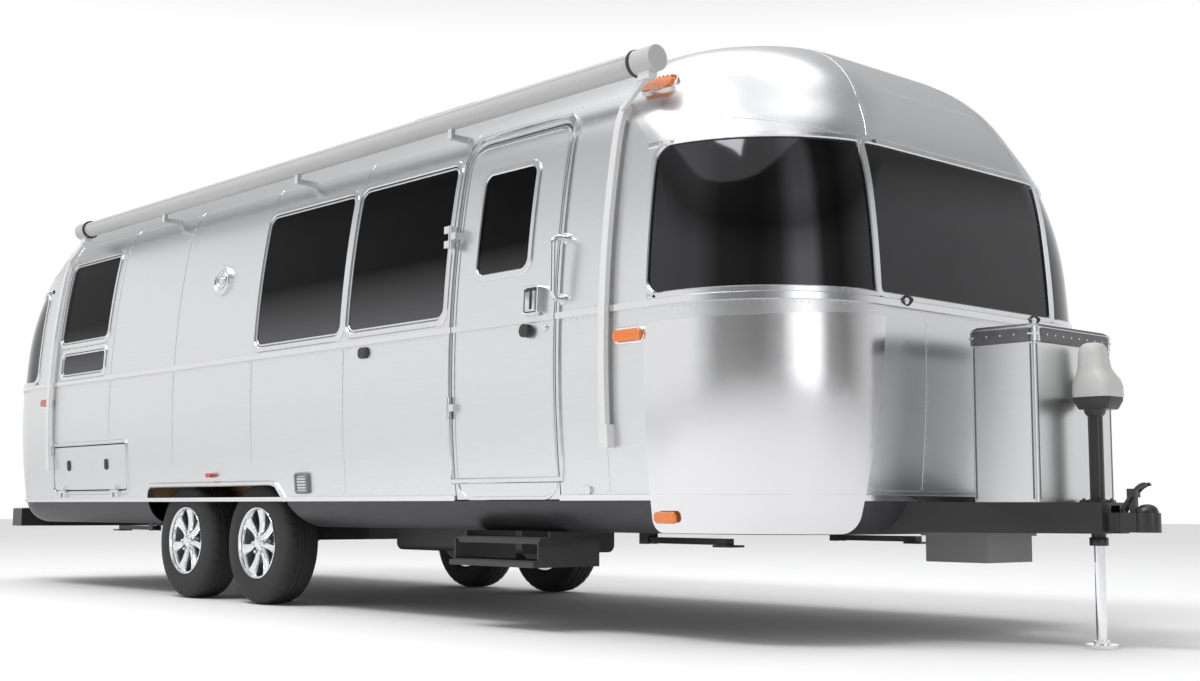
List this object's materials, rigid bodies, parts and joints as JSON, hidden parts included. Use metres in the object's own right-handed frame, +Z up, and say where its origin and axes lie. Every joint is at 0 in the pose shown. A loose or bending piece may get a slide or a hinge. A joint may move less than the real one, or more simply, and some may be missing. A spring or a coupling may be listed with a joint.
{
  "type": "travel caravan",
  "caption": "Full-size riveted aluminium travel caravan on tandem axles, with hinged doors, lids, stabiliser legs, turning wheels and a tongue jack that it stands on.",
  "frame": {"origin": "on the ground under the middle of the whole length", "axes": "+X forward to the hitch, +Y to the left side, +Z up"},
  "size_m": [8.89, 2.6775, 2.992],
  "materials": {
    "skin": "satin",
    "bright": "polished",
    "trim": "satin",
    "tinted_glass": "tinted",
    "black_plastic": "matte",
    "grey_plastic": "matte",
    "amber": "gloss",
    "red": "gloss",
    "white": "satin",
    "smoked": "satin",
    "wood": "satin",
    "cabinet": "satin",
    "belly": "satin",
    "frame_black": "semi-gloss",
    "chrome": "polished",
    "tyre": "matte",
    "rim": "polished"
  },
  "bodies": {
    "coach": {"curb_wall": "skin", "street_wall": "skin", "roof_shell": "skin", "front_cap_lower": "skin", "front_cap_upper": "skin", "rear_cap_lower": "skin", "rear_cap_upper": "skin", "rock_guards": "bright", "rub_rails": "trim", "front_glass": "tinted_glass", "rear_glass": "tinted_glass", "side_glass": "tinted_glass", "grab_handle": "bright", "amber_lamps": "amber", "rear_lamps": "red", "awning_roller": "white", "awning_arms": "trim", "awning_saddles": "trim", "air_conditioner": "white", "vent_frames": "trim", "skin_fittings": "trim", "floor_deck": "wood", "belly_pan": "belly", "chassis_frame": "frame_black", "rear_axle": "frame_black", "front_axle": "frame_black", "coupler": "frame_black", "jack_housing": "grey_plastic", "gas_cover": "skin", "battery_box": "grey_plastic", "rear_bumper": "frame_black", "entry_step": "frame_black", "water_tank": "black_plastic", "stabiliser_brackets": "frame_black", "galley_block": "cabinet", "dinette": "cabinet", "bed_platform": "cabinet"},
    "entry_door_leaf": {"entry_door": "skin", "entry_glass": "tinted_glass", "entry_latch": "black_plastic"},
    "locker_door_leaf": {"locker_door": "skin"},
    "jack_ram": {"jack_leg": "chrome"},
    "vent_lid_front_leaf": {"vent_lid_front": "smoked"},
    "vent_lid_rear_leaf": {"vent_lid_rear": "smoked"},
    "bumper_lid_leaf": {"bumper_lid": "trim"},
    "wheel_rear_curb": {"tyre_rear_curb": "tyre", "rim_rear_curb": "rim"},
    "wheel_rear_street": {"tyre_rear_street": "tyre", "rim_rear_street": "rim"},
    "wheel_front_curb": {"tyre_front_curb": "tyre", "rim_front_curb": "rim"},
    "wheel_front_street": {"tyre_front_street": "tyre", "rim_front_street": "rim"},
    "stabiliser_rear_curb_leg": {"stabiliser_rear_curb": "frame_black"},
    "stabiliser_rear_street_leg": {"stabiliser_rear_street": "frame_black"},
    "stabiliser_front_curb_leg": {"stabiliser_front_curb": "frame_black"},
    "stabiliser_front_street_leg": {"stabiliser_front_street": "frame_black"}
  },
  "joints": [
    {"name": "wheel_rear_curb_spin", "type": "hinge", "parent": "coach", "child": "wheel_rear_curb", "pos_m": [-1.354, -1.0875, 0.352], "axis": [0, 1, 0], "continuous": true},
    {"name": "wheel_rear_street_spin", "type": "hinge", "parent": "coach", "child": "wheel_rear_street", "pos_m": [-1.354, 1.0875, 0.352], "axis": [0, 1, 0], "continuous": true},
    {"name": "wheel_front_curb_spin", "type": "hinge", "parent": "coach", "child": "wheel_front_curb", "pos_m": [-0.488, -1.0875, 0.352], "axis": [0, 1, 0], "continuous": true},
    {"name": "wheel_front_street_spin", "type": "hinge", "parent": "coach", "child": "wheel_front_street", "pos_m": [-0.488, 1.0875, 0.352], "axis": [0, 1, 0], "continuous": true},
    {"name": "stabiliser_rear_curb_drop", "type": "hinge", "parent": "coach", "child": "stabiliser_rear_curb_leg", "pos_m": [-2.762, -0.7, 0.41], "axis": [0, -1, 0], "range_deg": [0, 40]},
    {"name": "stabiliser_rear_street_drop", "type": "hinge", "parent": "coach", "child": "stabiliser_rear_street_leg", "pos_m": [-2.762, 0.7, 0.41], "axis": [0, -1, 0], "range_deg": [0, 40]},
    {"name": "stabiliser_front_curb_drop", "type": "hinge", "parent": "coach", "child": "stabiliser_front_curb_leg", "pos_m": [2.258, -0.7, 0.41], "axis": [0, 1, 0], "range_deg": [0, 40]},
    {"name": "stabiliser_front_street_drop", "type": "hinge", "parent": "coach", "child": "stabiliser_front_street_leg", "pos_m": [2.258, 0.7, 0.41], "axis": [0, 1, 0], "range_deg": [0, 40]},
    {"name": "entry_door_swing", "type": "hinge", "parent": "coach", "child": "entry_door_leaf", "pos_m": [1.484, -1.305, 1.45], "axis": [0, 0, -1], "range_deg": [0, 165]},
    {"name": "locker_door_drop", "type": "hinge", "parent": "coach", "child": "locker_door_leaf", "pos_m": [-2.612, -1.27231, 0.661], "axis": [1, 0, 0], "range_deg": [0, 100]},
    {"name": "jack_leg_slide", "type": "slide", "parent": "coach", "child": "jack_ram", "axis": [0, 0, 1], "range_m": [0, 0.33]},
    {"name": "vent_lid_front_lift", "type": "hinge", "parent": "coach", "child": "vent_lid_front_leaf", "pos_m": [1.673, 0, 2.8025], "axis": [0, -1, 0], "range_deg": [0, 70]},
    {"name": "vent_lid_rear_lift", "type": "hinge", "parent": "coach", "child": "vent_lid_rear_leaf", "pos_m": [-2.077, 0, 2.8025], "axis": [0, -1, 0], "range_deg": [0, 70]},
    {"name": "bumper_lid_lift", "type": "hinge", "parent": "coach", "child": "bumper_lid_leaf", "pos_m": [-4.274, 0, 0.5455], "axis": [0, 1, 0], "range_deg": [0, 90]}
  ]
}
